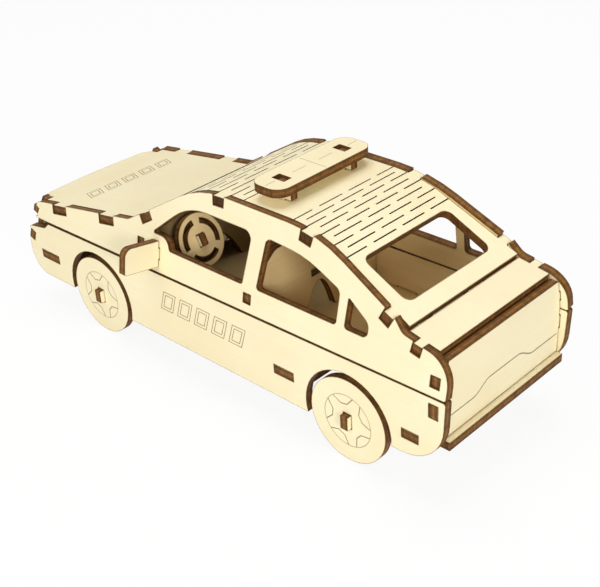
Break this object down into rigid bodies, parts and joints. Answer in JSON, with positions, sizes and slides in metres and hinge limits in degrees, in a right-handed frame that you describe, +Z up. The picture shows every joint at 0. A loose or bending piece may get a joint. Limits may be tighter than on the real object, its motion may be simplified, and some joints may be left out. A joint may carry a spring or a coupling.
{
  "type": "toy car",
  "caption": "Plywood puzzle car: slotted flat panels, a roof bent over slit hinges, roof light bar, door mirrors and disc wheels on turning axles.",
  "frame": {"origin": "on the ground under the middle of the car's bounding box", "axes": "+X to the car's front, +Y to its left side, +Z up"},
  "size_m": [0.2066, 0.097, 0.081],
  "materials": {
    "side_ply": "bare birch plywood, laser-cut edges",
    "panel_ply": "bare birch plywood, laser-cut edges",
    "inside_ply": "bare birch plywood, laser-cut edges",
    "wheel_ply": "bare birch plywood, laser-cut edges",
    "strip_ply": "bare birch plywood, laser-cut edges"
  },
  "bodies": {
    "body": {"roof_panel": "panel_ply", "front_panel": "panel_ply", "hood": "panel_ply", "deck_lid": "panel_ply", "rear_panel": "panel_ply", "dashboard": "inside_ply", "seat_back": "inside_ply", "steering_wheel": "inside_ply", "steering_column": "strip_ply", "floor": "panel_ply", "side_lower_left": "side_ply", "side_upper_left": "side_ply", "mirror_left": "panel_ply", "light_bar_post_left": "panel_ply", "side_lower_right": "side_ply", "side_upper_right": "side_ply", "mirror_right": "panel_ply", "light_bar_post_right": "panel_ply", "light_bar": "panel_ply", "bearer_front_left": "inside_ply", "bearer_front_right": "inside_ply", "bearer_rear_left": "inside_ply", "bearer_rear_right": "inside_ply"},
    "front_axle_set": {"axle_front": "strip_ply", "wheel_front_left": "wheel_ply", "wheel_front_right": "wheel_ply"},
    "rear_axle_set": {"axle_rear": "strip_ply", "wheel_rear_left": "wheel_ply", "wheel_rear_right": "wheel_ply"}
  },
  "joints": [
    {"name": "front_axle_spin", "type": "hinge", "parent": "body", "child": "front_axle_set", "pos_m": [0.05975, 0, 0.0155], "axis": [0, 1, 0], "continuous": true},
    {"name": "rear_axle_spin", "type": "hinge", "parent": "body", "child": "rear_axle_set", "pos_m": [-0.06515, 0, 0.0155], "axis": [0, 1, 0], "continuous": true}
  ]
}
